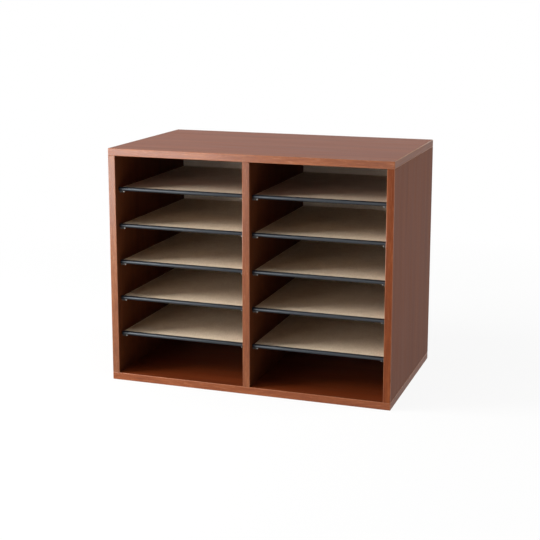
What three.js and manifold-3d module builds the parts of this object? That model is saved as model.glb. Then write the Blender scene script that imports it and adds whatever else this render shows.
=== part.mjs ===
// A desktop pigeonhole sorter. A laminated case with a centre divider holds two columns of thin hardboard
// shelves. Each shelf has a bullnose moulding on its front edge and rests loose on four metal pins.
// Millimetres, +Z up. The origin is the middle of the underside, and the open front faces -Y.

import * as THREE from 'three';
import { mergeVertices } from 'three/addons/utils/BufferGeometryUtils.js';
import Module from 'manifold-3d';

// Case
const CASE_WIDTH = 495.3;
const CASE_DEPTH = 298.45;
const CASE_HEIGHT = 406.4;
const PANEL_THICKNESS = 12.7;

// Glued tongues on the uprights, in grooves that stop short of the front and the rear
const TONGUE_THICKNESS = 6;
const TONGUE_LENGTH = 6;
const TONGUE_STOP = 25;
const GROOVE_CLEARANCE = 0.2;

// Back board, flush in a rabbet
const BACK_THICKNESS = 3.2;
const RABBET_WIDTH = 6.35;
const RABBET_CLEARANCE = 0.3;

// Shelf pins
const PIN_RADIUS = 2.5;
const PIN_REACH = 8;
const PIN_INSERT = 8;
const PIN_COLLAR_RADIUS = 3;
const PIN_COLLAR_THICKNESS = 0.9;
const PIN_TIP_CHAMFER = 0.6;
const PIN_HOLE_CLEARANCE = 0.1;
const PIN_SIDES = 12;

// Shelves. The pin rows divide the inside height evenly and are then lifted a little.
const SHELF_ROWS = 5;
const SHELF_THICKNESS = 3.2;
const SHELF_SEAT_GAP = 0.2;
const SHELF_COLLAR_GAP = 0.3;
const SHELF_REAR_GAP = 1;
const PIN_ROW_LIFT = 1.2;
const REAR_PIN_SETBACK = 36;

// Bullnose moulding on the front edge of a shelf
const MOULDING_WALL = 1.6;
const MOULDING_LIP = 3.4;
const MOULDING_CLEARANCE = 0.1;
const MOULDING_SETBACK = 10;
const MOULDING_PIN_GAP = 0.5;
const MOULDING_ARC_STEPS = 8;

// How far a cutting tool runs past the face that it cuts through
const CUT_OVERRUN = 1;

// Places that follow from the sizes above
const FRONT = -CASE_DEPTH / 2;
const REAR = CASE_DEPTH / 2;
const BACK_FACE = REAR - BACK_THICKNESS;
const HALF_PANEL = PANEL_THICKNESS / 2;
const SIDE_FACE = CASE_WIDTH / 2 - PANEL_THICKNESS;
const SIDE_CENTRE = CASE_WIDTH / 2 - HALF_PANEL;
const CEILING = CASE_HEIGHT - PANEL_THICKNESS;
const FLOOR = PANEL_THICKNESS;
const COLUMN_WIDTH = SIDE_FACE - HALF_PANEL;
const COLUMN_CENTRE = (SIDE_FACE + HALF_PANEL) / 2;
const ROW_PITCH = (CEILING - FLOOR) / (SHELF_ROWS + 1);
const MOULDING_DEPTH = MOULDING_WALL + MOULDING_LIP;
const MOULDING_HEIGHT = SHELF_THICKNESS + 2 * (MOULDING_CLEARANCE + MOULDING_WALL);
const MOULDING_FRONT = FRONT + MOULDING_SETBACK;
const SHELF_FRONT = MOULDING_FRONT + MOULDING_WALL + MOULDING_CLEARANCE;
const SHELF_DEPTH = BACK_FACE - SHELF_REAR_GAP - SHELF_FRONT;
const SHELF_WIDTH = COLUMN_WIDTH - 2 * (PIN_COLLAR_THICKNESS + SHELF_COLLAR_GAP);
const PIN_PLACES = [
  { name: 'front', y: MOULDING_FRONT + MOULDING_DEPTH + MOULDING_PIN_GAP + PIN_RADIUS },
  { name: 'rear', y: BACK_FACE - REAR_PIN_SETBACK },
];
const ROWS = Array.from({ length: SHELF_ROWS }, (_, index) => {
  const pinHeight = FLOOR + (index + 1) * ROW_PITCH + PIN_ROW_LIFT;
  return { number: index + 1, pinHeight, shelfUnderside: pinHeight + PIN_RADIUS + SHELF_SEAT_GAP };
});

const laminate = new THREE.MeshStandardMaterial({ color: 0x7a3b22, roughness: 0.45, metalness: 0 });
const hardboard = new THREE.MeshStandardMaterial({ color: 0xb39a7c, roughness: 0.8, metalness: 0 });
const blackPlastic = new THREE.MeshStandardMaterial({ color: 0x1b1b1d, roughness: 0.4, metalness: 0 });
const nickel = new THREE.MeshStandardMaterial({ color: 0xc9c7c2, roughness: 0.25, metalness: 1 });

const wasm = await Module();
wasm.setup();

// Joining and cutting

function solidOf(geometry) {
  const bare = geometry.clone();
  bare.deleteAttribute('normal');
  bare.deleteAttribute('uv');
  const merged = mergeVertices(bare);
  return new wasm.Manifold(new wasm.Mesh({
    numProp: 3,
    vertProperties: new Float32Array(merged.attributes.position.array),
    triVerts: new Uint32Array(merged.index.array),
  }));
}

function geometryOf(solid) {
  const mesh = solid.getMesh();
  const geometry = new THREE.BufferGeometry();
  geometry.setAttribute('position', new THREE.BufferAttribute(mesh.vertProperties, 3));
  geometry.setIndex(new THREE.BufferAttribute(mesh.triVerts, 1));
  geometry.computeVertexNormals();
  return geometry;
}

function boxBetween(low, high) {
  const size = high.map((value, axis) => value - low[axis]);
  const middle = high.map((value, axis) => (value + low[axis]) / 2);
  return solidOf(new THREE.BoxGeometry(...size).translate(...middle));
}

function rodAlongX(radius, fromX, toX, y, z) {
  const rod = new THREE.CylinderGeometry(radius, radius, toX - fromX, PIN_SIDES);
  return solidOf(rod.rotateZ(-Math.PI / 2).translate((fromX + toX) / 2, y, z));
}

// A solid that was cut in place becomes a mesh with its own origin at its middle.
function centredMesh(name, solid, material) {
  const geometry = geometryOf(solid);
  geometry.computeBoundingBox();
  const middle = geometry.boundingBox.getCenter(new THREE.Vector3());
  const mesh = new THREE.Mesh(geometry.translate(-middle.x, -middle.y, -middle.z), material);
  mesh.position.copy(middle);
  mesh.name = name;
  return mesh;
}

// Case

// One bar stands for the tongue at the top and the tongue at the bottom of an upright. Grown by a clearance,
// the same bar cuts their grooves.
function tongueBar(x, clearance) {
  const reach = TONGUE_LENGTH + clearance;
  const half = TONGUE_THICKNESS / 2 + clearance;
  return boxBetween(
    [x - half, FRONT + TONGUE_STOP - clearance, FLOOR - reach],
    [x + half, REAR - TONGUE_STOP + clearance, CEILING + reach],
  );
}

function backBoard(inset, overrun) {
  const halfWidth = SIDE_FACE + RABBET_WIDTH - inset;
  const rise = RABBET_WIDTH - inset;
  return boxBetween(
    [-halfWidth, BACK_FACE, FLOOR - rise],
    [halfWidth, REAR + overrun, CEILING + rise],
  );
}

const backRecess = backBoard(0, CUT_OVERRUN);

// Each upright is drilled from the side that faces a column: the sides blind, the divider right through.
const UPRIGHTS = [
  {
    name: 'left_side_panel',
    x: -SIDE_CENTRE,
    drill: [-SIDE_FACE - PIN_INSERT - PIN_HOLE_CLEARANCE, -SIDE_FACE + CUT_OVERRUN],
  },
  {
    name: 'center_divider',
    x: 0,
    drill: [-HALF_PANEL - CUT_OVERRUN, HALF_PANEL + CUT_OVERRUN],
  },
  {
    name: 'right_side_panel',
    x: SIDE_CENTRE,
    drill: [SIDE_FACE - CUT_OVERRUN, SIDE_FACE + PIN_INSERT + PIN_HOLE_CLEARANCE],
  },
];

function uprightPanel({ name, x, drill }) {
  let solid = boxBetween([x - HALF_PANEL, FRONT, FLOOR], [x + HALF_PANEL, REAR, CEILING]);
  solid = solid.add(tongueBar(x, 0)).subtract(backRecess);
  for (const { pinHeight } of ROWS) {
    for (const { y } of PIN_PLACES) {
      solid = solid.subtract(rodAlongX(PIN_RADIUS + PIN_HOLE_CLEARANCE, ...drill, y, pinHeight));
    }
  }
  return centredMesh(name, solid, laminate);
}

function levelPanel(name, underside) {
  let solid = boxBetween(
    [-CASE_WIDTH / 2, FRONT, underside],
    [CASE_WIDTH / 2, REAR, underside + PANEL_THICKNESS],
  );
  for (const { x } of UPRIGHTS) {
    solid = solid.subtract(tongueBar(x, GROOVE_CLEARANCE));
  }
  return centredMesh(name, solid.subtract(backRecess), laminate);
}

function buildCase() {
  const group = new THREE.Group();
  group.add(levelPanel('bottom_panel', 0), levelPanel('top_panel', CEILING));
  group.add(...UPRIGHTS.map(uprightPanel));
  group.add(centredMesh('back_panel', backBoard(RABBET_CLEARANCE, 0), hardboard));
  return group;
}

// Shelf pins

function lathed(outline) {
  return new THREE.LatheGeometry(outline.map(([radius, height]) => new THREE.Vector2(radius, height)), PIN_SIDES);
}

// The outline of what stands out of a wall whose face is at the given height along the pin.
function pinHead(wall) {
  const tip = wall + PIN_REACH;
  return [
    [PIN_RADIUS, wall],
    [PIN_COLLAR_RADIUS, wall],
    [PIN_COLLAR_RADIUS, wall + PIN_COLLAR_THICKNESS],
    [PIN_RADIUS, wall + PIN_COLLAR_THICKNESS],
    [PIN_RADIUS, tip - PIN_TIP_CHAMFER],
    [PIN_RADIUS - PIN_TIP_CHAMFER, tip],
    [0, tip],
  ];
}

const sidePin = lathed([[0, -PIN_INSERT], [PIN_RADIUS, -PIN_INSERT], ...pinHead(0)]);

// The two pins that meet back to back in a hole of the divider are one piece.
const dividerHead = pinHead(HALF_PANEL);
const dividerPin = lathed([
  ...dividerHead.map(([radius, height]) => [radius, -height]).reverse(),
  ...dividerHead,
]);

// A pin is turned about its own Y axis, and points along +X or -X once it is in its hole.
const PIN_COLUMNS = [
  { name: 'left', x: -SIDE_FACE, geometry: sidePin, turn: -Math.PI / 2 },
  { name: 'center', x: 0, geometry: dividerPin, turn: -Math.PI / 2 },
  { name: 'right', x: SIDE_FACE, geometry: sidePin, turn: Math.PI / 2 },
];

function buildPins() {
  const group = new THREE.Group();
  for (const column of PIN_COLUMNS) {
    for (const place of PIN_PLACES) {
      for (const row of ROWS) {
        const pin = new THREE.Mesh(column.geometry, nickel);
        pin.name = `shelf_pin_${column.name}_${place.name}_${row.number}`;
        pin.position.set(column.x, place.y, row.pinHeight);
        pin.rotation.z = column.turn;
        group.add(pin);
      }
    }
  }
  return group;
}

// Shelves

const shelfBoard = new THREE.BoxGeometry(SHELF_WIDTH, SHELF_DEPTH, SHELF_THICKNESS);

// The moulding's section lies in the YZ plane with its nose at the origin: a half-round front, and a slot at
// the rear for the shelf's front edge.
function mouldingGeometry() {
  const radius = MOULDING_HEIGHT / 2;
  const slotHalf = SHELF_THICKNESS / 2 + MOULDING_CLEARANCE;
  const section = new THREE.Shape();
  section.moveTo(MOULDING_WALL, slotHalf);
  section.lineTo(MOULDING_DEPTH, slotHalf);
  section.lineTo(MOULDING_DEPTH, radius);
  section.lineTo(radius, radius);
  section.absarc(radius, 0, radius, Math.PI / 2, 3 * Math.PI / 2, false);
  section.lineTo(MOULDING_DEPTH, -radius);
  section.lineTo(MOULDING_DEPTH, -slotHalf);
  section.lineTo(MOULDING_WALL, -slotHalf);
  section.closePath();
  const bar = new THREE.ExtrudeGeometry(section, {
    depth: SHELF_WIDTH,
    bevelEnabled: false,
    curveSegments: MOULDING_ARC_STEPS,
  });
  const lengthwise = new THREE.Matrix4().makeBasis(
    new THREE.Vector3(0, 1, 0),
    new THREE.Vector3(0, 0, 1),
    new THREE.Vector3(1, 0, 0),
  );
  return bar.translate(0, 0, -SHELF_WIDTH / 2).applyMatrix4(lengthwise);
}

const mouldingBar = mouldingGeometry();

// A shelf's group has its origin in the middle of the column, at half the height of the board.
function buildShelf(columnName, columnX, row) {
  const group = new THREE.Group();
  group.position.set(columnX, 0, row.shelfUnderside + SHELF_THICKNESS / 2);
  const board = new THREE.Mesh(shelfBoard, hardboard);
  board.name = `shelf_${columnName}_${row.number}`;
  board.position.y = SHELF_FRONT + SHELF_DEPTH / 2;
  const moulding = new THREE.Mesh(mouldingBar, blackPlastic);
  moulding.name = `shelf_moulding_${columnName}_${row.number}`;
  moulding.position.y = MOULDING_FRONT;
  group.add(board, moulding);
  return group;
}

function buildShelves() {
  const group = new THREE.Group();
  for (const row of ROWS) {
    group.add(buildShelf('left', -COLUMN_CENTRE, row), buildShelf('right', COLUMN_CENTRE, row));
  }
  return group;
}

const sorter = new THREE.Group();
sorter.name = 'pigeonhole_sorter';
sorter.add(buildCase(), buildPins(), buildShelves());

export default sorter;
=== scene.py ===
# %% [markdown]
# # A pigeonhole mail sorter
# The object is a desk sorter: a case of cherry-coloured laminated board, open at the front, with a divider
# and ten thin hardboard shelves that lie loose on metal pins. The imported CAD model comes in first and
# stays as a fixed frame. Every piece below takes its place from that frame, so nothing has to be fitted by
# eye, and the pieces move with the CAD bodies when a shelf is drawn out.

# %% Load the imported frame
import math

import bmesh
import bpy
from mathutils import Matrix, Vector


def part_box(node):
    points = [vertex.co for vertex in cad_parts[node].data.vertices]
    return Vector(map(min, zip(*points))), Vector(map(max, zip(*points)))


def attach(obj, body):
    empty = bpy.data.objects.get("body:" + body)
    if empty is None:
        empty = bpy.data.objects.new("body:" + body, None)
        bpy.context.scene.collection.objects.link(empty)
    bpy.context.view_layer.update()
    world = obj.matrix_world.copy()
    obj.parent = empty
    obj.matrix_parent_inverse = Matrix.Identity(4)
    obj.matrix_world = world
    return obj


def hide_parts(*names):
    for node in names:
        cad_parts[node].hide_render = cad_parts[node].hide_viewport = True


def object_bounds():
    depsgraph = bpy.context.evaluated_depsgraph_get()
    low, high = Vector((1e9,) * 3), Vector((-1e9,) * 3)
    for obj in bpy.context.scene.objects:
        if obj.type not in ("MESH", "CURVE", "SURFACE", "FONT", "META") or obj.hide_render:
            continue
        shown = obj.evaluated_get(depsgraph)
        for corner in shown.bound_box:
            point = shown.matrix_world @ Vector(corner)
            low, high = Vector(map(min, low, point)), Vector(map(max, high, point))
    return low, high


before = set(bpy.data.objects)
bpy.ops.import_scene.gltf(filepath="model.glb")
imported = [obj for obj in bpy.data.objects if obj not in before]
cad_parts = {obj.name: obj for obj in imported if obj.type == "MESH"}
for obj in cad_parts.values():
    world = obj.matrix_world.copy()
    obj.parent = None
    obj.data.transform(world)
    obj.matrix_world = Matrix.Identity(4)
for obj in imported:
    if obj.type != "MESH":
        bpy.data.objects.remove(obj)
cad_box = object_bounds()
scene = bpy.context.scene
MM = 0.001

print("CAD box in mm:", [[round(value / MM, 2) for value in corner] for corner in cad_box])

# %% [markdown]
# ## Camera
# The photograph was taken with a long lens from about two metres, right of the middle and a little above
# the top. The place and the angles below come from a fit to the corners of the case. A small shift of the
# lens frames the object without tilting the camera further, because tilt makes upright edges converge.

# %% Camera
CAMERA_PLACE = Vector((0.6578, -1.94368, 0.66313))
CAMERA_TILT = 0.1852
CAMERA_TURN = 0.3348
CAMERA_LENS = 79.24
CAMERA_SHIFT = (0.00926, -0.10)

camera = bpy.data.objects.new("camera", bpy.data.cameras.new("camera"))
camera.location = CAMERA_PLACE
camera.rotation_euler = (math.pi / 2 - CAMERA_TILT, 0.0, CAMERA_TURN)
camera.data.lens = CAMERA_LENS
camera.data.shift_x, camera.data.shift_y = CAMERA_SHIFT
scene.collection.objects.link(camera)
scene.camera = camera
scene.view_settings.view_transform = "Standard"

print("camera tilt in degrees:", round(math.degrees(CAMERA_TILT), 2))
print("camera turn in degrees:", round(math.degrees(CAMERA_TURN), 2))

# %% [markdown]
# ## Shader nodes in one call
# A material is a small machine of nodes and links. Making each node by hand takes four lines, so one
# helper adds a node, sets its options, and fills or links its inputs by name or number. Everything after
# this reads as a list of what goes into what.

# %% Node helpers
def add_node(tree, kind, inputs=None, **options):
    """Add a node, set its options, and give each named input a value or a link."""
    node = tree.nodes.new(kind)
    for name, value in options.items():
        setattr(node, name, value)
    for name, value in (inputs or {}).items():
        if isinstance(value, bpy.types.NodeSocket):
            tree.links.new(value, node.inputs[name])
        else:
            node.inputs[name].default_value = value
    return node


def larger(tree, first, second):
    """The larger of two values."""
    return add_node(tree, "ShaderNodeMath", {0: first, 1: second}, operation="MAXIMUM").outputs["Value"]


def seen_directly(tree):
    """1 for rays that show a surface itself: from the camera, from a gloss, or through glass."""
    path = add_node(tree, "ShaderNodeLightPath").outputs
    either = larger(tree, path["Is Camera Ray"], path["Is Glossy Ray"])
    return larger(tree, either, path["Is Transmission Ray"])


print("node helpers:", add_node.__name__, larger.__name__, seen_directly.__name__)

# %% [markdown]
# ## Floor and surroundings
# The photograph has a plain white ground. More light would bleach the object before the floor turned
# white, so the floor itself is pale, and it glows only for rays that look at it directly. Near the object
# a share of plain paint is left in, which takes the object's shadow. The world does the same: white to
# look at, but dim as a lamp.

# %% Floor
FLOOR_REACH = 30.0

floor_mesh = bpy.data.meshes.new("floor")
bm = bmesh.new()
bmesh.ops.create_grid(bm, x_segments=1, y_segments=1, size=FLOOR_REACH)
bm.to_mesh(floor_mesh)
bm.free()
floor = bpy.data.objects.new("floor", floor_mesh)
scene.collection.objects.link(floor)

print("floor reach in metres:", FLOOR_REACH)

# %% Floor paint
WHITE = (1.0, 1.0, 1.0, 1.0)
FLOOR_TONE = (0.82, 0.82, 0.81, 1.0)
FLOOR_GLOW = 0.90
FADE_FROM = 0.45
FADE_TO = 1.30

floor_paint = bpy.data.materials.new("floor_paint")
floor_paint.use_nodes = True
tree = floor_paint.node_tree
tree.nodes.clear()
place = add_node(tree, "ShaderNodeTexCoord").outputs["Object"]
distance = add_node(tree, "ShaderNodeVectorMath", {"Vector": place}, operation="LENGTH").outputs["Value"]
fade = add_node(tree, "ShaderNodeMapRange", {
    "Value": distance, "From Min": FADE_FROM, "From Max": FADE_TO, "To Min": FLOOR_GLOW, "To Max": 1.0})
direct = {0: seen_directly(tree), 1: fade.outputs["Result"]}
share = add_node(tree, "ShaderNodeMath", direct, operation="MULTIPLY")
paint = add_node(tree, "ShaderNodeBsdfDiffuse", {"Color": FLOOR_TONE})
glow = add_node(tree, "ShaderNodeEmission", {"Color": WHITE, "Strength": 1.0})
blend = add_node(tree, "ShaderNodeMixShader", {
    0: share.outputs["Value"], 1: paint.outputs["BSDF"], 2: glow.outputs["Emission"]})
add_node(tree, "ShaderNodeOutputMaterial", {"Surface": blend.outputs["Shader"]})
floor_mesh.materials.append(floor_paint)

print("floor glow, near and far:", FLOOR_GLOW, 1.0)

# %% World
AMBIENT = 0.04

world = bpy.data.worlds.new("studio")
world.use_nodes = True
scene.world = world
tree = world.node_tree
tree.nodes.clear()
strength = add_node(tree, "ShaderNodeMapRange", {
    "Value": seen_directly(tree), "To Min": AMBIENT, "To Max": 1.0})
surround = add_node(tree, "ShaderNodeBackground", {
    "Color": WHITE, "Strength": strength.outputs["Result"]})
add_node(tree, "ShaderNodeOutputWorld", {"Surface": surround.outputs["Background"]})

print("world ready, ambient:", AMBIENT)

# %% [markdown]
# ## Softboxes
# In the photograph the left front edges are bright and pinkish, the right outer face is dull, and each
# shelf is brightest along its front. So the main light stands far to the left and low enough to reach in
# over the shelves. A small one nearby gives the left edges their sheen. Weaker ones fill the front, the
# right outer face and the top, and the right one stands behind the front plane, so that hardly any of its
# light enters the case. Area lamps give the soft edges of a studio softbox, and a track quaternion turns
# each to its aim.

# %% Softboxes
LIGHT_AIM = Vector((0.0, 0.0, 0.22))


def softbox(name, place, size, power):
    """A square area lamp of that side in metres, aimed at the middle of the case."""
    lamp = bpy.data.lights.new(name, "AREA")
    lamp.shape = "SQUARE"
    lamp.size = size
    lamp.energy = power
    box = bpy.data.objects.new(name, lamp)
    box.location = place
    box.rotation_mode = "QUATERNION"
    box.rotation_quaternion = (LIGHT_AIM - Vector(place)).to_track_quat("-Z", "Y")
    scene.collection.objects.link(box)
    return box


softbox("key_softbox", place=(-2.20, -1.00, 1.00), size=1.2, power=120.0)
softbox("low_softbox", place=(-0.89, -1.38, 0.34), size=0.72, power=11.0)
softbox("front_softbox", place=(0.20, -2.70, 0.55), size=1.0, power=5.5)
softbox("right_softbox", place=(2.10, 0.35, 1.10), size=1.2, power=24.5)
softbox("top_softbox", place=(0.05, -0.45, 2.10), size=1.4, power=12.0)

# %% [markdown]
# ## Streaks, tones and relief
# Most finishes of this object are patterns drawn by noise: wood grain, die lines and turning marks are all
# noise that is drawn out along one axis. An image could carry them, but noise never repeats and can run
# along any board. The helpers below give the streaks, turn their level into tones, gloss and relief, and
# link these to a shader.

# %% Streaks
STREAK_ROUGHNESS = 0.6


def drawn_out(tree, along, stretch):
    """Object coordinates squeezed along the grain, so that a noise becomes streaks that run that way."""
    scale = [1.0, 1.0, 1.0]
    scale["XYZ".index(along)] = 1.0 / stretch
    place = add_node(tree, "ShaderNodeTexCoord").outputs["Object"]
    return add_node(tree, "ShaderNodeMapping", {"Vector": place, "Scale": scale}).outputs["Vector"]


def streaks(tree, along, per_metre, stretch, detail):
    """Noise with so many marks per metre across the grain, each drawn out along it."""
    return add_node(tree, "ShaderNodeTexNoise", {
        "Vector": drawn_out(tree, along, stretch), "Scale": per_metre, "Detail": detail,
        "Roughness": STREAK_ROUGHNESS}).outputs["Fac"]


print("streak helpers:", drawn_out.__name__, streaks.__name__)

# %% Tones, gloss and relief
MIX_SHARE = 0
MIX_FIRST = 6
MIX_SECOND = 7
MIX_COLOUR = 2


def tone_ramp(tree, value, stops):
    """A colour for each level of a value. Stops are pairs of level and linear colour."""
    ramp = add_node(tree, "ShaderNodeValToRGB", {"Fac": value})
    while len(ramp.color_ramp.elements) < len(stops):
        ramp.color_ramp.elements.new(1.0)
    for element, (level, colour) in zip(ramp.color_ramp.elements, stops):
        element.position = level
        element.color = (*colour, 1.0)
    return ramp.outputs["Color"]


def mix_tones(tree, share, first, second):
    """Two colours mixed by a share that varies over the surface."""
    inputs = {MIX_SHARE: share, MIX_FIRST: first, MIX_SECOND: second}
    return add_node(tree, "ShaderNodeMix", inputs, data_type="RGBA").outputs[MIX_COLOUR]


def spread(tree, value, low, high, to_low, to_high):
    """A value's range from low to high moved to another range, and held within it."""
    return add_node(tree, "ShaderNodeMapRange", {
        "Value": value, "From Min": low, "From Max": high, "To Min": to_low, "To Max": to_high,
    }).outputs["Result"]


def bump(tree, height, depth, strength):
    """Fine relief of that depth in metres."""
    return add_node(tree, "ShaderNodeBump", {
        "Height": height, "Distance": depth, "Strength": strength}).outputs["Normal"]


print("finish helpers:", tone_ramp.__name__, mix_tones.__name__, spread.__name__, bump.__name__)

# %% Starting and linking a finish
def new_finish(name):
    """An empty material, its node tree and its shader."""
    finish = bpy.data.materials.new(name)
    finish.use_nodes = True
    return finish, finish.node_tree, finish.node_tree.nodes["Principled BSDF"]


def link_finish(tree, shader, colour, roughness, relief):
    """Link a colour, a roughness and a relief to a shader."""
    for name, value in (("Base Color", colour), ("Roughness", roughness), ("Normal", relief)):
        tree.links.new(value, shader.inputs[name])


print("finish frame:", new_finish.__name__, link_finish.__name__)

# %% [markdown]
# ## Cherry laminate
# The panels are chipboard faced with a printed cherry foil: broad soft figure, finer streaks along the
# length, and short dark pores. Two layers of streaks mix the tone, a third darkens the pores and sinks
# them a little, and the fine layer also varies the gloss.

# %% Cherry finish
MIDDLE_OF_NOISE = (0.3, 0.7)
FIGURE_DETAIL = 2.0
FINE_DETAIL = 5.0
PORES = (2100.0, 16.0)
PORE_DETAIL = 1.0
PORE_LEVELS = (0.62, 0.76)
PORE_SHARE = 0.55
PORE_DEPTH = 0.05 * MM
PORE_RELIEF = 0.5
PORE_TONE = (0.050, 0.012, 0.005, 1.0)
FOIL_SMOOTHER = 0.05
FOIL_ROUGHER = 0.06


def cherry_finish(name, along, tones, figure, fine, roughness, sheen):
    """A printed cherry surface whose grain runs along X, Y or Z."""
    finish, tree, shader = new_finish(name)
    broad = streaks(tree, along, *figure, FIGURE_DETAIL)
    narrow = streaks(tree, along, *fine, FINE_DETAIL)
    both = add_node(tree, "ShaderNodeMath", {0: broad, 1: narrow}, operation="ADD")
    half = add_node(tree, "ShaderNodeMath", {0: both.outputs["Value"], 1: 0.5}, operation="MULTIPLY")
    wood = tone_ramp(tree, half.outputs["Value"], tones)
    pores = spread(tree, streaks(tree, along, *PORES, PORE_DETAIL), *PORE_LEVELS, 0.0, PORE_SHARE)
    gloss = spread(tree, narrow, *MIDDLE_OF_NOISE, roughness - FOIL_SMOOTHER, roughness + FOIL_ROUGHER)
    relief = bump(tree, pores, -PORE_DEPTH, PORE_RELIEF)
    link_finish(tree, shader, mix_tones(tree, pores, wood, PORE_TONE), gloss, relief)
    shader.inputs["Specular IOR Level"].default_value = sheen
    return finish


def tinted(tones, tint):
    """The same stops with every colour multiplied by a tint."""
    return [(level, tuple(value * share for value, share in zip(colour, tint))) for level, colour in tones]


print("cherry finish ready, pores per metre:", PORES[0])

# %% [markdown]
# The faces of the boards share one set of tones. Each board gets a tint and a sheen of its own, and the
# tints are painted light and shade: the top is made lighter, as lit from above, the bottom darker and
# redder, as in shade, and the uprights plainer. The grain runs along the length of the board: across the
# top and bottom, and up the uprights.

# %% Board faces
LAMINATE_TONES = [
    (0.28, (0.094, 0.022, 0.007)), (0.50, (0.135, 0.034, 0.010)), (0.74, (0.176, 0.049, 0.016))]
LAMINATE_FIGURE = (40.0, 16.0)
LAMINATE_FINE = (330.0, 45.0)
LAMINATE_ROUGHNESS = 0.50
# The tints below are painted light and shade on one and the same foil.
BOARD_LOOK_WITH_PAINTED_LIGHT = {
    "top": ("X", (1.22, 1.19, 1.16), 0.19),
    "bottom": ("X", (0.84, 0.62, 0.47), 0.07),
    "upright": ("Z", (0.86, 0.94, 1.05), 0.05),
}

laminate = {}
for label, (along, tint, sheen) in BOARD_LOOK_WITH_PAINTED_LIGHT.items():
    laminate[label] = cherry_finish(
        f"cherry_laminate_{label}", along, tinted(LAMINATE_TONES, tint),
        LAMINATE_FIGURE, LAMINATE_FINE, LAMINATE_ROUGHNESS, sheen)

print("board faces:", [finish.name for finish in laminate.values()])

# %% [markdown]
# The edge bands are a lighter and glossier strip with a shorter grain. They differ in tone and gloss round
# the case, and the tones are painted light and shade: the left and top bands are made lighter, where the
# light falls, and the divider and right bands darker. The rounded arrises get a paler tone still, which is
# a painted highlight. The ends of the top and bottom have the dullest band, and the strongest painted
# highlight on their arrises.

# %% Edge band finishes
BAND_TONES = [
    (0.24, (0.105, 0.023, 0.006)), (0.50, (0.185, 0.047, 0.012)), (0.74, (0.265, 0.082, 0.024))]
# The arris tones are a painted highlight on the rounded edges of the bands.
PAINTED_ARRIS_HIGHLIGHT_TONES = [
    (0.26, (0.180, 0.056, 0.020)), (0.50, (0.245, 0.082, 0.034)), (0.72, (0.310, 0.118, 0.056))]
END_TONES = [
    (0.28, (0.110, 0.034, 0.014)), (0.50, (0.150, 0.050, 0.022)), (0.74, (0.190, 0.066, 0.030))]
PAINTED_END_ARRIS_HIGHLIGHT_TONES = [
    (0.26, (0.280, 0.140, 0.082)), (0.50, (0.370, 0.200, 0.125)), (0.72, (0.450, 0.265, 0.175))]
BAND_FIGURE = (90.0, 10.0)
BAND_FINE = (520.0, 10.0)
BAND_ROUGHNESS = 0.24
END_FIGURE = (150.0, 22.0)
END_FINE = (620.0, 36.0)
END_ROUGHNESS = 0.46
END_SHEEN = 0.14
ARRIS_FIGURE = (90.0, 8.0)
ARRIS_FINE = (520.0, 8.0)
ARRIS_ROUGHNESS = 0.35
ARRIS_SHEEN = 0.30
# The tints below are painted light and shade on one and the same strip.
BAND_LOOK_WITH_PAINTED_LIGHT = {
    "top": ("X", (1.15, 1.20, 1.15), 0.46),
    "bottom": ("X", (1.02, 0.98, 0.94), 0.34),
    "left_side": ("Z", (1.03, 1.17, 1.20), 0.48),
    "divider": ("Z", (0.87, 0.86, 0.80), 0.38),
    "right_side": ("Z", (0.88, 0.78, 0.68), 0.16),
}

edge_band = {}
for label, (along, tint, sheen) in BAND_LOOK_WITH_PAINTED_LIGHT.items():
    edge_band[label] = cherry_finish(
        f"cherry_band_{label}", along, tinted(BAND_TONES, tint),
        BAND_FIGURE, BAND_FINE, BAND_ROUGHNESS, sheen)
end_band = cherry_finish(
    "cherry_end_band", "Y", END_TONES, END_FIGURE, END_FINE, END_ROUGHNESS, END_SHEEN)
band_arris_highlight = cherry_finish(
    "cherry_band_arris_highlight", "Z", PAINTED_ARRIS_HIGHLIGHT_TONES, ARRIS_FIGURE, ARRIS_FINE, ARRIS_ROUGHNESS, ARRIS_SHEEN)
end_arris_highlight = cherry_finish(
    "cherry_end_arris_highlight", "Y", PAINTED_END_ARRIS_HIGHLIGHT_TONES, ARRIS_FIGURE, ARRIS_FINE, ARRIS_ROUGHNESS, ARRIS_SHEEN)

print("band finishes:", [finish.name for finish in (*edge_band.values(), end_band, band_arris_highlight, end_arris_highlight)])

# %% [markdown]
# ## Hardboard
# The shelves and the back are thin hardboard: pressed wood fibre with a tan face. Close to, it is speckled
# with darker fibres. A fine noise gives the speckle and a coarse one a slight mottling. The inner face of
# the back is made paler than the shelves, which is painted light. The rough side of the board is browner,
# and darker still as painted shade for the row below it, and sawn edges are darker again.

# %% Hardboard finishes
MOTTLE_SHARE = 0.2
MOTTLE_SCALE = 55.0
MOTTLE_DETAIL = 3.0
SPECKLE_SCALE = 430.0
SPECKLE_DETAIL = 6.0
SPECKLE_ROUGHNESS = 0.75
SPECKLE_DEPTH = 0.08 * MM
SPECKLE_RELIEF = 0.35
HARDBOARD_SHEEN = 0.15
FIBRE_SPREAD = 0.08
SMOOTH_SIDE = 0.62
ROUGH_SIDE = 0.85
FIBRE_TONES = [
    (0.32, (0.510, 0.398, 0.276)), (0.50, (0.705, 0.577, 0.427)), (0.68, (0.845, 0.724, 0.567))]
# Painted light: the back's inner face is the shelves' board, made paler to stand in for more light on it.
PAINTED_LIGHT_BACK_TONES = [
    (0.32, (0.720, 0.600, 0.470)), (0.50, (0.850, 0.725, 0.590)), (0.68, (0.910, 0.800, 0.670))]
# The underside tone is the rough side's own brown, darkened further as painted shade for the row below.
UNDERSIDE_AND_SHADE_TONES = [
    (0.32, (0.270, 0.172, 0.092)), (0.50, (0.365, 0.240, 0.134)), (0.68, (0.450, 0.310, 0.180))]
SAWN_TONES = [
    (0.32, (0.150, 0.092, 0.055)), (0.50, (0.240, 0.155, 0.098)), (0.68, (0.330, 0.230, 0.150))]


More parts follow.
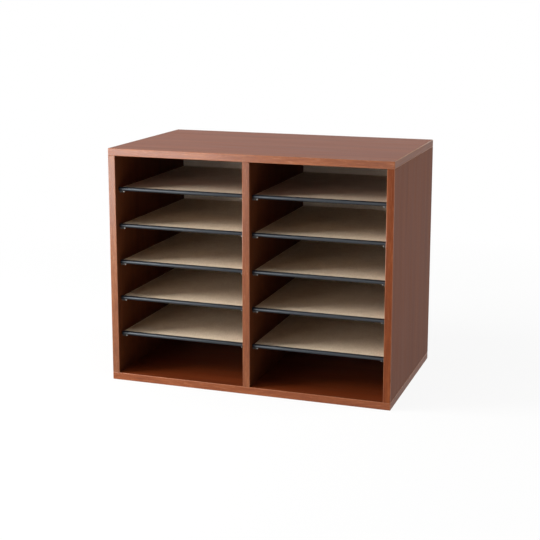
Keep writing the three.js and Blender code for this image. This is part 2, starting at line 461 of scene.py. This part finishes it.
def hardboard_finish(name, tones, roughness):
    """Pressed fibre: soft mottling with a fine speckle over it."""
    finish, tree, shader = new_finish(name)
    place = add_node(tree, "ShaderNodeTexCoord").outputs["Object"]
    mottle = add_node(tree, "ShaderNodeTexNoise", {
        "Vector": place, "Scale": MOTTLE_SCALE, "Detail": MOTTLE_DETAIL}).outputs["Fac"]
    speckle = add_node(tree, "ShaderNodeTexNoise", {
        "Vector": place, "Scale": SPECKLE_SCALE, "Detail": SPECKLE_DETAIL,
        "Roughness": SPECKLE_ROUGHNESS}).outputs["Fac"]
    level = add_node(tree, "ShaderNodeMix", {
        "Factor": MOTTLE_SHARE, "A": speckle, "B": mottle}).outputs["Result"]
    gloss = spread(tree, speckle, *MIDDLE_OF_NOISE, roughness - FIBRE_SPREAD, roughness + FIBRE_SPREAD)
    relief = bump(tree, speckle, SPECKLE_DEPTH, SPECKLE_RELIEF)
    link_finish(tree, shader, tone_ramp(tree, level, tones), gloss, relief)
    shader.inputs["Specular IOR Level"].default_value = HARDBOARD_SHEEN
    return finish


hardboard = hardboard_finish("hardboard_face", FIBRE_TONES, SMOOTH_SIDE)
painted_light_back_face = hardboard_finish("hardboard_back_face_painted_light", PAINTED_LIGHT_BACK_TONES, SMOOTH_SIDE)
hardboard_underside_and_shade = hardboard_finish("hardboard_underside_and_shade", UNDERSIDE_AND_SHADE_TONES, ROUGH_SIDE)
sawn_hardboard = hardboard_finish("hardboard_sawn_edge", SAWN_TONES, ROUGH_SIDE)
hardboards = (hardboard, painted_light_back_face, hardboard_underside_and_shade, sawn_hardboard)

print("hardboard finishes:", [finish.name for finish in hardboards])

# %% [markdown]
# ## Bare chipboard
# The rear edges of the case panels have no band, so the chipboard core shows there as small pressed
# grains. Voronoi cells give each grain a flat tone of its own, which noise would blur.

# %% Chipboard finish
GRAINS_PER_METRE = 620.0
GRAIN_DEPTH = 0.25 * MM
GRAIN_RELIEF = 0.6
GRAIN_ROUGHNESS = (0.80, 0.95)
CHIP_TONES = [
    (0.0, (0.230, 0.140, 0.075)), (0.5, (0.390, 0.265, 0.160)), (1.0, (0.530, 0.400, 0.260))]

chipboard, tree, shader = new_finish("chipboard_core")
place = add_node(tree, "ShaderNodeTexCoord").outputs["Object"]
grains = add_node(tree, "ShaderNodeTexVoronoi", {
    "Vector": place, "Scale": GRAINS_PER_METRE, "Randomness": 1.0})
grain = add_node(tree, "ShaderNodeSeparateColor", {"Color": grains.outputs["Color"]}).outputs["Red"]
link_finish(tree, shader, tone_ramp(tree, grain, CHIP_TONES),
            spread(tree, grain, 0.0, 1.0, *GRAIN_ROUGHNESS), bump(tree, grain, GRAIN_DEPTH, GRAIN_RELIEF))

print("chipboard finish:", chipboard.name)

# %% [markdown]
# ## Black plastic, nickel and steel
# The mouldings are extruded plastic: black with a satin gloss, and faint lines along their length from the
# die. The cool tint of the gloss, and the faint blue of the black, are a painted reflection colour. The
# pins are turned and nickel plated. A pin is only a few pixels long, so its shank gets a dark, dull tone,
# which is painted shade, and its tip a bright one, which is a painted highlight. All of these are smooth
# surfaces with fine lines that vary the tone, the gloss and the relief a little.

# %% Plastic and metal
LINE_DETAIL = 3.0
LINE_LEVELS = (0.3, 0.75)
LINE_DEPTH = 0.02 * MM
LINE_RELIEF = 0.4
LINE_SMOOTHER = 0.06
LINE_ROUGHER = 0.08
DIE_LINES = ("X", 1900.0, 60.0)
TURNING_MARKS = ("Z", 2600.0, 8.0)
BRAD_MARKS = ("X", 1500.0, 3.0)
# A blue tint on the plastic's gloss: a painted reflection colour.
PAINTED_COOL_REFLECTION_TINT = (0.84, 0.92, 1.0, 1.0)


def lined_finish(name, base, worn, lines, roughness, metal, sheen=0.5, gloss_tint=WHITE):
    """A smooth surface with fine lines. Lines are an axis, a number per metre and a stretch."""
    finish, tree, shader = new_finish(name)
    level = streaks(tree, *lines, LINE_DETAIL)
    colour = tone_ramp(tree, level, list(zip(LINE_LEVELS, (base, worn))))
    gloss = spread(tree, level, *MIDDLE_OF_NOISE, roughness - LINE_SMOOTHER, roughness + LINE_ROUGHER)
    link_finish(tree, shader, colour, gloss, bump(tree, level, LINE_DEPTH, LINE_RELIEF))
    shader.inputs["Metallic"].default_value = metal
    shader.inputs["Specular IOR Level"].default_value = sheen
    shader.inputs["Specular Tint"].default_value = gloss_tint
    return finish


black_plastic = lined_finish(
    "black_moulding_plastic", (0.004, 0.0045, 0.006), (0.008, 0.010, 0.014), DIE_LINES,
    roughness=0.30, metal=0.0, sheen=0.55, gloss_tint=PAINTED_COOL_REFLECTION_TINT)
# The shank's dark tone is painted shade, and the tip's bright tone a painted highlight.
shaded_nickel = lined_finish(
    "nickel_plate_painted_shade", (0.034, 0.033, 0.032), (0.060, 0.058, 0.056), TURNING_MARKS,
    roughness=0.42, metal=0.2, sheen=0.3)
highlight_nickel = lined_finish(
    "nickel_painted_tip_highlight", (0.840, 0.830, 0.810), (0.920, 0.910, 0.890), TURNING_MARKS,
    roughness=0.30, metal=0.3, sheen=0.8)
steel = lined_finish(
    "steel_brad", (0.330, 0.325, 0.320), (0.520, 0.515, 0.505), BRAD_MARKS,
    roughness=0.38, metal=1.0)

print("small finishes:", black_plastic.name, shaded_nickel.name, highlight_nickel.name, steel.name)

# %% [markdown]
# ## Mesh helpers
# A case panel is a box, but its edges aren't knife sharp: each is eased by a fraction of a millimetre, and
# that narrow round is what catches the light. So every piece starts from a few operators, then a bevel
# rounds the edges that a hand would ease. Only those rounds are shaded smooth, and
# the flat faces of the board stay flat.

# %% Mesh helpers
MERGE_DISTANCE = 0.0005 * MM
EASE_SEGMENTS = 2


def block(low, high):
    """A box between two corners."""
    bm = bmesh.new()
    bmesh.ops.create_cube(bm, size=1.0)
    bmesh.ops.scale(bm, vec=high - low, verts=bm.verts)
    bmesh.ops.translate(bm, vec=(low + high) / 2, verts=bm.verts)
    return bm


def ease(bm, edges, radius, segments=EASE_SEGMENTS):
    """Round edges off, shade only the rounds smooth, and return them."""
    made = bmesh.ops.bevel(bm, geom=edges, offset=radius, offset_type="OFFSET", affect="EDGES",
                           segments=segments, profile=0.5, material=-1, clamp_overlap=True)
    for face in made["faces"]:
        face.smooth = True
    return made["faces"]


def merge_doubles(bm):
    """Join vertices that lie on each other."""
    bmesh.ops.remove_doubles(bm, verts=bm.verts, dist=MERGE_DISTANCE)


def moved_on(bm, faces, step):
    """Extrude a region of faces and move the new end by a step."""
    made = bmesh.ops.extrude_face_region(bm, geom=faces)["geom"]
    ends = [part for part in made if isinstance(part, bmesh.types.BMVert)]
    bmesh.ops.translate(bm, vec=step, verts=ends)


print("mesh helpers:", block.__name__, ease.__name__, merge_doubles.__name__, moved_on.__name__)

# %% [markdown]
# Each finished mesh becomes a piece of the scene in one place: its doubles are merged, its faces are
# turned outwards, it is told which body it rides on, and the CAD nodes that it stands for are hidden.

# %% Placing a piece
def place_piece(name, bm, finishes, body, slot, *nodes):
    """Turn a finished bmesh into a piece that rides on a body and stands for CAD nodes."""
    merge_doubles(bm)
    bmesh.ops.recalc_face_normals(bm, faces=bm.faces)
    mesh = bpy.data.meshes.new(name)
    bm.to_mesh(mesh)
    bm.free()
    for finish in finishes:
        mesh.materials.append(finish)
    piece = bpy.data.objects.new(name, mesh)
    scene.collection.objects.link(piece)
    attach(piece, body)
    if nodes:
        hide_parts(*nodes)
    return piece


print("placing helper:", place_piece.__name__)

# %% [markdown]
# ## The step for the back board
# At the rear, the inner edges of the case are stepped for the back board. A boolean could cut that step,
# but it is simple enough to do by hand: slice the faces along the sides of the step, push the rear patch
# in, and drop the pairs of walls that then lie on each other.

# %% Step for the back board
STEP_GAP = 0.3 * MM
FACING = 0.9
SPOT_DIGITS = 2
FLAT_ANGLE = 0.01

back_low, back_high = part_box("back_panel")
step_low = back_low - Vector((STEP_GAP, 0.0, STEP_GAP))
step_high = back_high + Vector((STEP_GAP, 0.0, STEP_GAP))


def cut_step(bm, low, high):
    """Cut a box-shaped step into the rear of a board."""
    for axis, depth in ((0, low.x), (0, high.x), (2, low.z), (2, high.z), (1, low.y)):
        normal = Vector((0.0, 0.0, 0.0))
        normal[axis] = 1.0
        parts = bm.verts[:] + bm.edges[:] + bm.faces[:]
        bmesh.ops.bisect_plane(bm, geom=parts, plane_co=normal * depth, plane_no=normal)
    bm.normal_update()
    rear = [face for face in bm.faces if face.normal.y > FACING]
    middles = [face.calc_center_median() for face in rear]
    patch = [face for face, middle in zip(rear, middles)
             if low.x < middle.x < high.x and low.z < middle.z < high.z]
    moved_on(bm, patch, (0.0, low.y - high.y, 0.0))
    bmesh.ops.delete(bm, geom=patch, context="FACES")
    spots = {}
    for face in bm.faces:
        middle = face.calc_center_median() / MM
        spots.setdefault(tuple(round(value, SPOT_DIGITS) for value in middle), []).append(face)
    doubled = [face for faces in spots.values() if len(faces) > 1 for face in faces]
    bmesh.ops.delete(bm, geom=doubled, context="FACES")
    merge_doubles(bm)
    bmesh.ops.dissolve_limit(bm, angle_limit=FLAT_ANGLE, verts=bm.verts, edges=bm.edges)


print("step depth in mm:", round((step_high.y - step_low.y) / MM, 2))

# %% [markdown]
# ## The five case boards
# Top and bottom run the full width and cap the three uprights. Each board ends where its edge bands begin,
# so the bands can be pieces of their own. Faces behind the step's front are bare chipboard, and all others
# are laminate.

# %% Case boards
BAND_THICKNESS = 1.2 * MM
BOARD_EASE = 0.25 * MM
STEP_MARGIN = 0.1 * MM
CASE_BODY = "case"
UPRIGHTS = {"left_side": "left_side_panel", "divider": "center_divider", "right_side": "right_side_panel"}
LEVELS = {"bottom": "bottom_panel", "top": "top_panel"}


def case_board(label, node, low, high, finish):
    """One case panel behind its edge bands: laminate on the faces, bare chipboard at the rear."""
    bm = block(low, high)
    cut_step(bm, step_low, step_high)
    bm.normal_update()
    for face in bm.faces:
        behind = face.calc_center_median().y > step_low.y - STEP_MARGIN
        face.material_index = 1 if behind else 0
    ease(bm, [edge for edge in bm.edges if edge.is_convex], BOARD_EASE)
    return place_piece(f"{label}_board", bm, [finish, chipboard], CASE_BODY, "cherry_laminate", node)


case_low, case_high = cad_box
board_front = case_low.y + BAND_THICKNESS
floor_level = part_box("bottom_panel")[1].z
ceiling_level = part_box("top_panel")[0].z

for label, node in LEVELS.items():
    low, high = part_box(node)
    low = Vector((low.x + BAND_THICKNESS, board_front, low.z))
    high = Vector((high.x - BAND_THICKNESS, high.y, high.z))
    case_board(label, node, low, high, laminate[label])
for label, node in UPRIGHTS.items():
    low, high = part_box(node)
    low = Vector((low.x, board_front, floor_level))
    high = Vector((high.x, case_high.y, ceiling_level))
    case_board(label, node, low, high, laminate["upright"])

# %% [markdown]
# ## Edge bands
# The front edges, and the ends of the top and bottom, are covered by a strip of printed plastic that is
# glued on and rounded over. The strips are lighter than the faces, and their rounded arrises draw thin
# bright lines, helped by a paler tone on the rounds that is a painted highlight. Each strip is a box. The
# bevel skips the edges that lie on a glued face, so the strip still meets its board flush.

# %% Edge bands
BAND_ROUND = 0.9 * MM
BAND_SEGMENTS = 4
TOUCH = 0.01 * MM


def lies_on(edge, axis, place):
    """True for an edge that lies in the plane across an axis at that place."""
    return all(abs(vert.co[axis] - place) < TOUCH for vert in edge.verts)


def band(name, low, high, glued, finish, arris_highlight):
    """A glued strip. Glued is a list of pairs of axis and place, one for each face that stays square."""
    bm = block(low, high)
    free = [edge for edge in bm.edges if not any(lies_on(edge, axis, place) for axis, place in glued)]
    # The rounds take the paler arris tone, a painted highlight.
    for face in ease(bm, free, BAND_ROUND, BAND_SEGMENTS):
        face.material_index = 1
    return place_piece(name, bm, [finish, arris_highlight], CASE_BODY, "cherry_laminate")


for label, node in LEVELS.items():
    low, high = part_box(node)
    band(f"{label}_front_band", low, Vector((high.x, board_front, high.z)), [(1, board_front)],
         edge_band[label], band_arris_highlight)
    for side, outer, inward in (("left", low.x, BAND_THICKNESS), ("right", high.x, -BAND_THICKNESS)):
        inner = outer + inward
        band(f"{label}_{side}_end_band", Vector((min(outer, inner), board_front, low.z)),
             Vector((max(outer, inner), high.y, high.z)), [(0, inner), (1, board_front)],
             end_band, end_arris_highlight)
for label, node in UPRIGHTS.items():
    low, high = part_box(node)
    band(f"{label}_front_band", Vector((low.x, low.y, floor_level)),
         Vector((high.x, board_front, ceiling_level)),
         [(1, board_front), (2, floor_level), (2, ceiling_level)], edge_band[label], band_arris_highlight)

# %% [markdown]
# ## Back board
# The back is one sheet of hardboard, flush with the rear of the case. The side that shows inside is made
# paler than the rear as painted light, and its edges are sawn, so the finish of a face follows the
# direction that it looks in.

# %% Back board
BACK_EASE = 0.4 * MM

bm = block(back_low, back_high)
ease(bm, bm.edges[:], BACK_EASE)
for face in bm.faces:
    face.material_index = 0 if face.normal.y < -FACING else 1 if face.normal.y > FACING else 2
back = place_piece("back_board", bm, [painted_light_back_face, hardboard, sawn_hardboard],
                   CASE_BODY, "hardboard", "back_panel")

print("back board faces:", len(back.data.polygons))

# %% [markdown]
# ## Brads
# Small nails hold the back along the edges of the case and down the divider. Only their low domed heads
# show. Each head is a turned shape, so a short outline from the middle to the rim and back is spun once
# round. All the heads are one piece, because nothing about them differs but the place.

# %% Brads
BRAD_RADIUS = 1.4 * MM
BRAD_HEIGHT = 0.35 * MM
BRAD_INSET = 3.0 * MM
BRAD_OUTLINE = [(0.0, -1.0), (1.0, -1.0), (1.0, 0.3), (0.6, 0.8), (0.0, 1.0)]
BRAD_STEPS = 16
BRADS_ACROSS = 7
BRADS_UP = 6


def brad_head(bm, x, z):
    """A low dome on the rear of the back board. The outline is in shares of its radius and height."""
    face = back_high.y
    verts = [bm.verts.new((x, face + rise * BRAD_HEIGHT, z + reach * BRAD_RADIUS))
             for reach, rise in BRAD_OUTLINE]
    edges = [bm.edges.new(pair) for pair in zip(verts, verts[1:])]
    bmesh.ops.spin(bm, geom=verts + edges, cent=(x, face, z), axis=(0.0, 1.0, 0.0), angle=2 * math.pi,
                   steps=BRAD_STEPS, use_merge=True)


def between(low, high, count):
    """Evenly spaced places from low to high."""
    return [low + (high - low) * index / (count - 1) for index in range(count)]


left, right = back_low.x + BRAD_INSET, back_high.x - BRAD_INSET
foot, head = back_low.z + BRAD_INSET, back_high.z - BRAD_INSET
brads = {(x, z) for x in between(left, right, BRADS_ACROSS) for z in (foot, head)}
brads |= {(x, z) for x in (left, 0.0, right) for z in between(foot, head, BRADS_UP)[1:-1]}
bm = bmesh.new()
for x, z in sorted(brads):
    brad_head(bm, x, z)
merge_doubles(bm)
for face in bm.faces:
    face.smooth = True
place_piece("back_brads", bm, [steel], CASE_BODY, "nickel_pin")

print("brads:", len(brads))

# %% [markdown]
# ## Shelves
# Each shelf is a thin hardboard sheet, lying loose on four pins. It lies smooth side up, with the rough
# side below. The rough side is browner in life, and its tone is set darker still so that the rear of each
# row below lies in deeper shade: partly the board's own colour, partly painted shade. The faces again get
# their finish by the direction that they look in.
# A shelf and its moulding ride on the same body, because they are drawn out together.

# %% Shelves
SHELF_EASE = 0.35 * MM
COLUMNS = ("left", "right")
ROWS = range(1, 6)

for column in COLUMNS:
    for row in ROWS:
        node = f"shelf_{column}_{row}"
        bm = block(*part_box(node))
        ease(bm, bm.edges[:], SHELF_EASE)
        for face in bm.faces:
            face.material_index = 0 if face.normal.z > FACING else 1 if face.normal.z < -FACING else 2
        place_piece(f"{node}_board", bm, [hardboard, hardboard_underside_and_shade, sawn_hardboard],
                    f"{column}_shelf_{row}", "hardboard", node)

print("shelves:", len(COLUMNS) * len(ROWS))

# %% [markdown]
# ## Mouldings
# A bullnose moulding is pressed over the front edge of each shelf: a half-round nose with two lips that
# grip the board. It is an extrusion in life, and it is one here. One vertex spun through half a turn draws
# the nose, six more draw the lips and the slot, and the face between them is pulled out along the shelf.

# %% Moulding section
NOSE_STEPS = 20
MOULDING_WALL = 1.6 * MM
SLOT_CLEARANCE = 0.1 * MM


def moulding_section(bm, low, high, slot_half):
    """The moulding's left end face: nose, lips and slot."""
    radius = (high.z - low.z) / 2
    centre = Vector((low.x, low.y + radius, (low.z + high.z) / 2))
    crown = bm.verts.new(centre + Vector((0.0, 0.0, radius)))
    bmesh.ops.spin(bm, geom=[crown], cent=centre, axis=(1.0, 0.0, 0.0), angle=math.pi, steps=NOSE_STEPS)
    nose = sorted(bm.verts, key=lambda vert: -vert.co.z)
    slot_front = low.y + MOULDING_WALL
    corners = [(high.y, -radius), (high.y, -slot_half), (slot_front, -slot_half),
               (slot_front, slot_half), (high.y, slot_half), (high.y, radius)]
    lips = [bm.verts.new((low.x, y, centre.z + rise)) for y, rise in corners]
    return bm.faces.new(nose + lips)


print("nose steps in a moulding's section:", NOSE_STEPS)

# %% Mouldings
LIP_EASE = 0.4 * MM
LIP_SEGMENTS = 3
FLAT_NORMAL = 0.9999


def on_rim(edge, low, high):
    """True for the lips' rear edges and for the outline of both ends, where it follows the outside."""
    along = abs(edge.verts[0].co.x - edge.verts[1].co.x) > MM
    inside = MOULDING_WALL / 2
    slot = [low.z + inside < vert.co.z < high.z - inside and vert.co.y > low.y + inside
            for vert in edge.verts]
    return lies_on(edge, 1, high.y) if along else not any(slot)


def moulding(column, row):
    """The bullnose moulding of one shelf."""
    node = f"shelf_moulding_{column}_{row}"
    low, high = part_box(node)
    shelf_low, shelf_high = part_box(f"shelf_{column}_{row}")
    bm = bmesh.new()
    end = moulding_section(bm, low, high, (shelf_high.z - shelf_low.z) / 2 + SLOT_CLEARANCE)
    moved_on(bm, [end], (high.x - low.x, 0.0, 0.0))
    for face in bm.faces:
        face.smooth = max(abs(value) for value in face.normal) < FLAT_NORMAL
    ease(bm, [edge for edge in bm.edges if on_rim(edge, low, high)], LIP_EASE, LIP_SEGMENTS)
    return place_piece(f"{node}_nose", bm, [black_plastic], f"{column}_shelf_{row}", "black_moulding", node)


mouldings = [moulding(column, row) for column in COLUMNS for row in ROWS]

print("mouldings:", len(mouldings), "faces in each:", len(mouldings[0].data.polygons))

# %% [markdown]
# ## Shelf pins
# A pin is turned from rod: a shank that sits in the drilled hole, a thin collar that stops against the
# wall, and a stub with a chamfered tip that carries the shelf. A lathe makes it in life, and a spin does
# here: the outline is a short chain of edges turned once round its axis. In the divider two pins meet back
# to back in one hole.

# %% Turning a pin
PIN_RADIUS = 2.5 * MM
PIN_REACH = 8.0 * MM
PIN_CHAMFER = 0.6 * MM
COLLAR_RADIUS = 3.0 * MM
COLLAR_THICKNESS = 0.9 * MM
PIN_STEPS = 32


def turn_pin(bm, wall, outward, insert, y, z):
    """One pin that stands out of a wall at X in the direction +1 or -1."""
    tip = PIN_REACH - PIN_CHAMFER
    outline = [(-insert, 0.0), (-insert, PIN_RADIUS), (0.0, PIN_RADIUS), (0.0, COLLAR_RADIUS),
               (COLLAR_THICKNESS, COLLAR_RADIUS), (COLLAR_THICKNESS, PIN_RADIUS), (tip, PIN_RADIUS),
               (PIN_REACH, PIN_RADIUS - PIN_CHAMFER), (PIN_REACH, 0.0)]
    verts = [bm.verts.new((wall + outward * along, y, z + radius)) for along, radius in outline]
    edges = [bm.edges.new(pair) for pair in zip(verts, verts[1:])]
    bmesh.ops.spin(bm, geom=verts + edges, cent=(wall, y, z), axis=(1.0, 0.0, 0.0), angle=2 * math.pi,
                   steps=PIN_STEPS, use_merge=True)


print("pin reach in mm:", round(PIN_REACH / MM, 2))

# %% Shelf pins
PIN_EASE = 0.2 * MM
PIN_HIGHLIGHT_TIP = 2.3 * MM
PIN_BACKS_APART = 0.05 * MM
END_FACING = 0.99
SHARP_ANGLE = 0.5


def is_rim(edge):
    """True for a sharp outer edge that runs round the pin."""
    across = abs(edge.verts[0].co.x - edge.verts[1].co.x) < TOUCH
    return edge.is_convex and across and edge.calc_face_angle() > SHARP_ANGLE


def shelf_pin(column, place, row):
    """The pins of one CAD node: one in a side panel, or two in the divider."""
    node = f"shelf_pin_{column}_{place}_{row}"
    low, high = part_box(node)
    y, z = (low.y + high.y) / 2, (low.z + high.z) / 2
    bm = bmesh.new()
    if column == "center":
        half = high.x - PIN_REACH
        turn_pin(bm, half, 1.0, half - PIN_BACKS_APART, y, z)
        turn_pin(bm, -half, -1.0, half - PIN_BACKS_APART, y, z)
    else:
        outward = 1.0 if column == "left" else -1.0
        wall = high.x - PIN_REACH if column == "left" else low.x + PIN_REACH
        turn_pin(bm, wall, outward, high.x - low.x - PIN_REACH, y, z)
    merge_doubles(bm)
    bmesh.ops.recalc_face_normals(bm, faces=bm.faces)
    for face in bm.faces:
        face.smooth = abs(face.normal.x) < END_FACING
    ease(bm, [edge for edge in bm.edges if is_rim(edge)], PIN_EASE)
    # Painted shade and highlight: the shank takes the dark finish, and both ends take the bright one.
    for face in bm.faces:
        shaded_shank = low.x + PIN_HIGHLIGHT_TIP < face.calc_center_median().x < high.x - PIN_HIGHLIGHT_TIP
        face.material_index = 0 if shaded_shank else 1
    return place_piece(f"{node}_turned", bm, [shaded_nickel, highlight_nickel], CASE_BODY, "nickel_pin", node)


pins = [shelf_pin(column, place, row) for column in ("left", "center", "right")
        for place in ("front", "rear") for row in ROWS]

print("pins:", len(pins), "faces in each:", len(pins[0].data.polygons))
